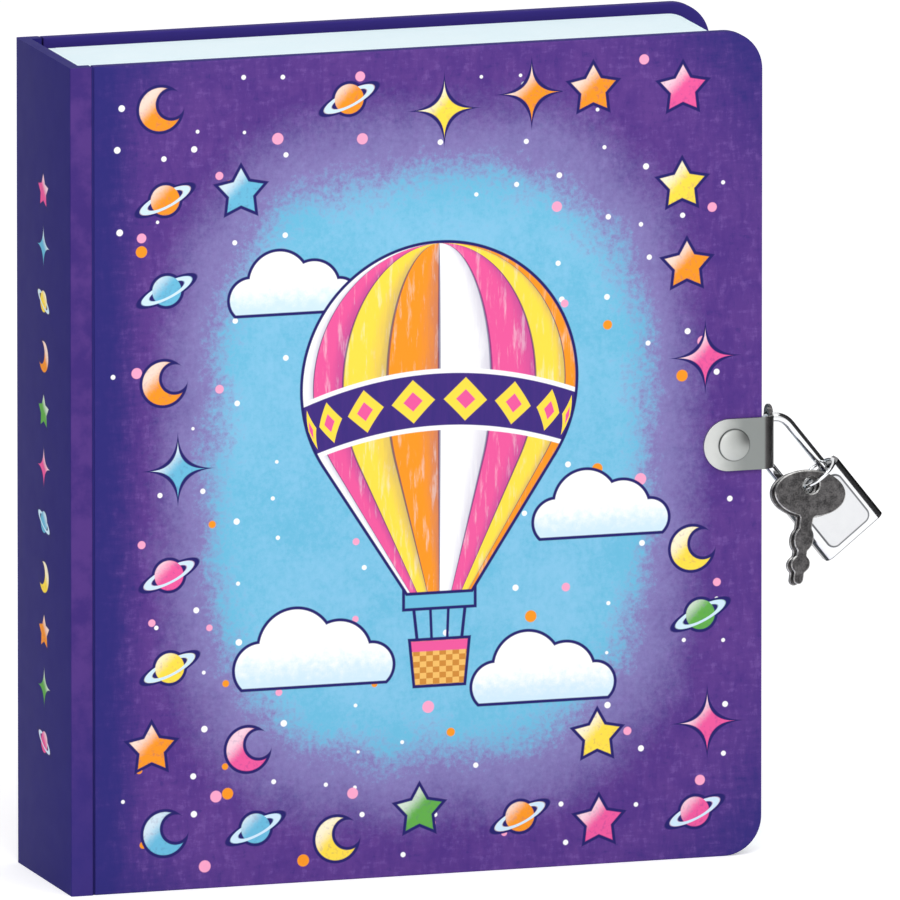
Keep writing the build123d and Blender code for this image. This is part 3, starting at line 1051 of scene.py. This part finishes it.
def camera():
    """At the photograph's angle, from far enough away that the covers' edges stay nearly parallel."""
    yaw = math.radians(17.52)
    pitch = math.radians(10.79)
    distance = 7.8
    image_size = 900
    pixels_per_metre = 5279.0
    middle_pixel = (389.7, 446.5)
    forward = Vector((math.sin(yaw) * math.cos(pitch), math.cos(yaw) * math.cos(pitch), -math.sin(pitch)))
    right = Vector((math.cos(yaw), -math.sin(yaw), 0))
    up = right.cross(forward)
    target = book_middle + right * ((image_size / 2 - middle_pixel[0]) / pixels_per_metre)
    target = target - up * ((image_size / 2 - middle_pixel[1]) / pixels_per_metre)
    lens = bpy.data.cameras.new("camera")
    lens.sensor_width = 36.0
    lens.lens = pixels_per_metre * distance / image_size * lens.sensor_width
    lens.clip_end = 30.0
    eye = bpy.data.objects.new("camera", lens)
    eye.location = target - forward * distance
    eye.rotation_euler = forward.to_track_quat("-Z", "Y").to_euler()
    bpy.context.collection.objects.link(eye)
    bpy.context.scene.camera = eye


def lamp(name, place, size, power):
    """A square soft light turned to the middle of the book."""
    light = bpy.data.lights.new(name, "AREA")
    light.size = size
    light.energy = power
    holder = bpy.data.objects.new(name, light)
    holder.location = place
    holder.rotation_euler = (book_middle - Vector(place)).to_track_quat("-Z", "Y").to_euler()
    bpy.context.collection.objects.link(holder)


def background_rays(nodes):
    """1 for rays that show the background, also in metal or through glass, and 0 for those that light."""
    ray = nodes.node("ShaderNodeLightPath", output="Is Camera Ray")
    return ray + ray.out("Is Glossy Ray") + ray.out("Is Transmission Ray")


def surroundings():
    """White surroundings that light the object softly."""
    light_strength = 0.62
    seen_strength = 1.0
    world = bpy.data.worlds.new("surroundings")
    bpy.context.scene.world = world
    world.use_nodes = True
    nodes = Nodes(world.node_tree)
    strength = nodes.node("ShaderNodeMapRange", {}, {"Value": background_rays(nodes),
                          "To Min": light_strength, "To Max": seen_strength})
    background = world.node_tree.nodes["Background"]
    background.inputs["Color"].default_value = (1, 1, 1, 1)
    nodes.feed(background.inputs["Strength"], strength)


def flat_sheet(name, corners, material):
    """A flat four-cornered sheet."""
    mesh = bpy.data.meshes.new(name)
    mesh.from_pydata(corners, [], [(0, 1, 2, 3)])
    mesh.materials.append(material)
    sheet = bpy.data.objects.new(name, mesh)
    bpy.context.collection.objects.link(sheet)
    return sheet


def floor():
    """A pale floor that looks as white as the surroundings and keeps the object's shadow."""
    half = 1.6
    glow = 0.36
    paint = Paint("floor")
    colour = paint.mix(paint.noise(0.01), ink(244, 244, 246), ink(248, 248, 249))
    emission = paint.mix(background_rays(paint), (0, 0, 0, 1), (glow, glow, glow, 1))
    paint.feed(paint.shader.inputs["Emission Color"], emission)
    paint.shader.inputs["Emission Strength"].default_value = 1.0
    corners = [(-half, -half, 0), (half, -half, 0), (half, half, 0), (-half, half, 0)]
    plane = flat_sheet("floor", corners, paint.finish(colour, 0.9))


def dark_card(name, x):
    """A dark card beside the object, seen only in polished metal."""
    near_y, far_y = -0.5, 0.5
    foot_z, top_z = 0.002, 0.6
    paint = Paint(name)
    colour = paint.mix(paint.noise(0.01), ink(18, 18, 20), ink(34, 34, 36))
    corners = [(x, near_y, foot_z), (x, far_y, foot_z), (x, far_y, top_z), (x, near_y, top_z)]
    card = flat_sheet(name, corners, paint.finish(colour, 0.9))
    card.visible_camera = False
    card.visible_diffuse = False
    card.visible_shadow = False


bpy.context.scene.view_settings.view_transform = "Standard"
camera()
surroundings()
lamp("key_light", place=(-0.5, -1.1, 0.9), size=0.9, power=8.6)
lamp("fill_light", place=(0.25, -0.75, 1.25), size=0.9, power=4.4)
floor()
dark_card("right_card", x=0.45)
dark_card("left_card", x=-0.4)
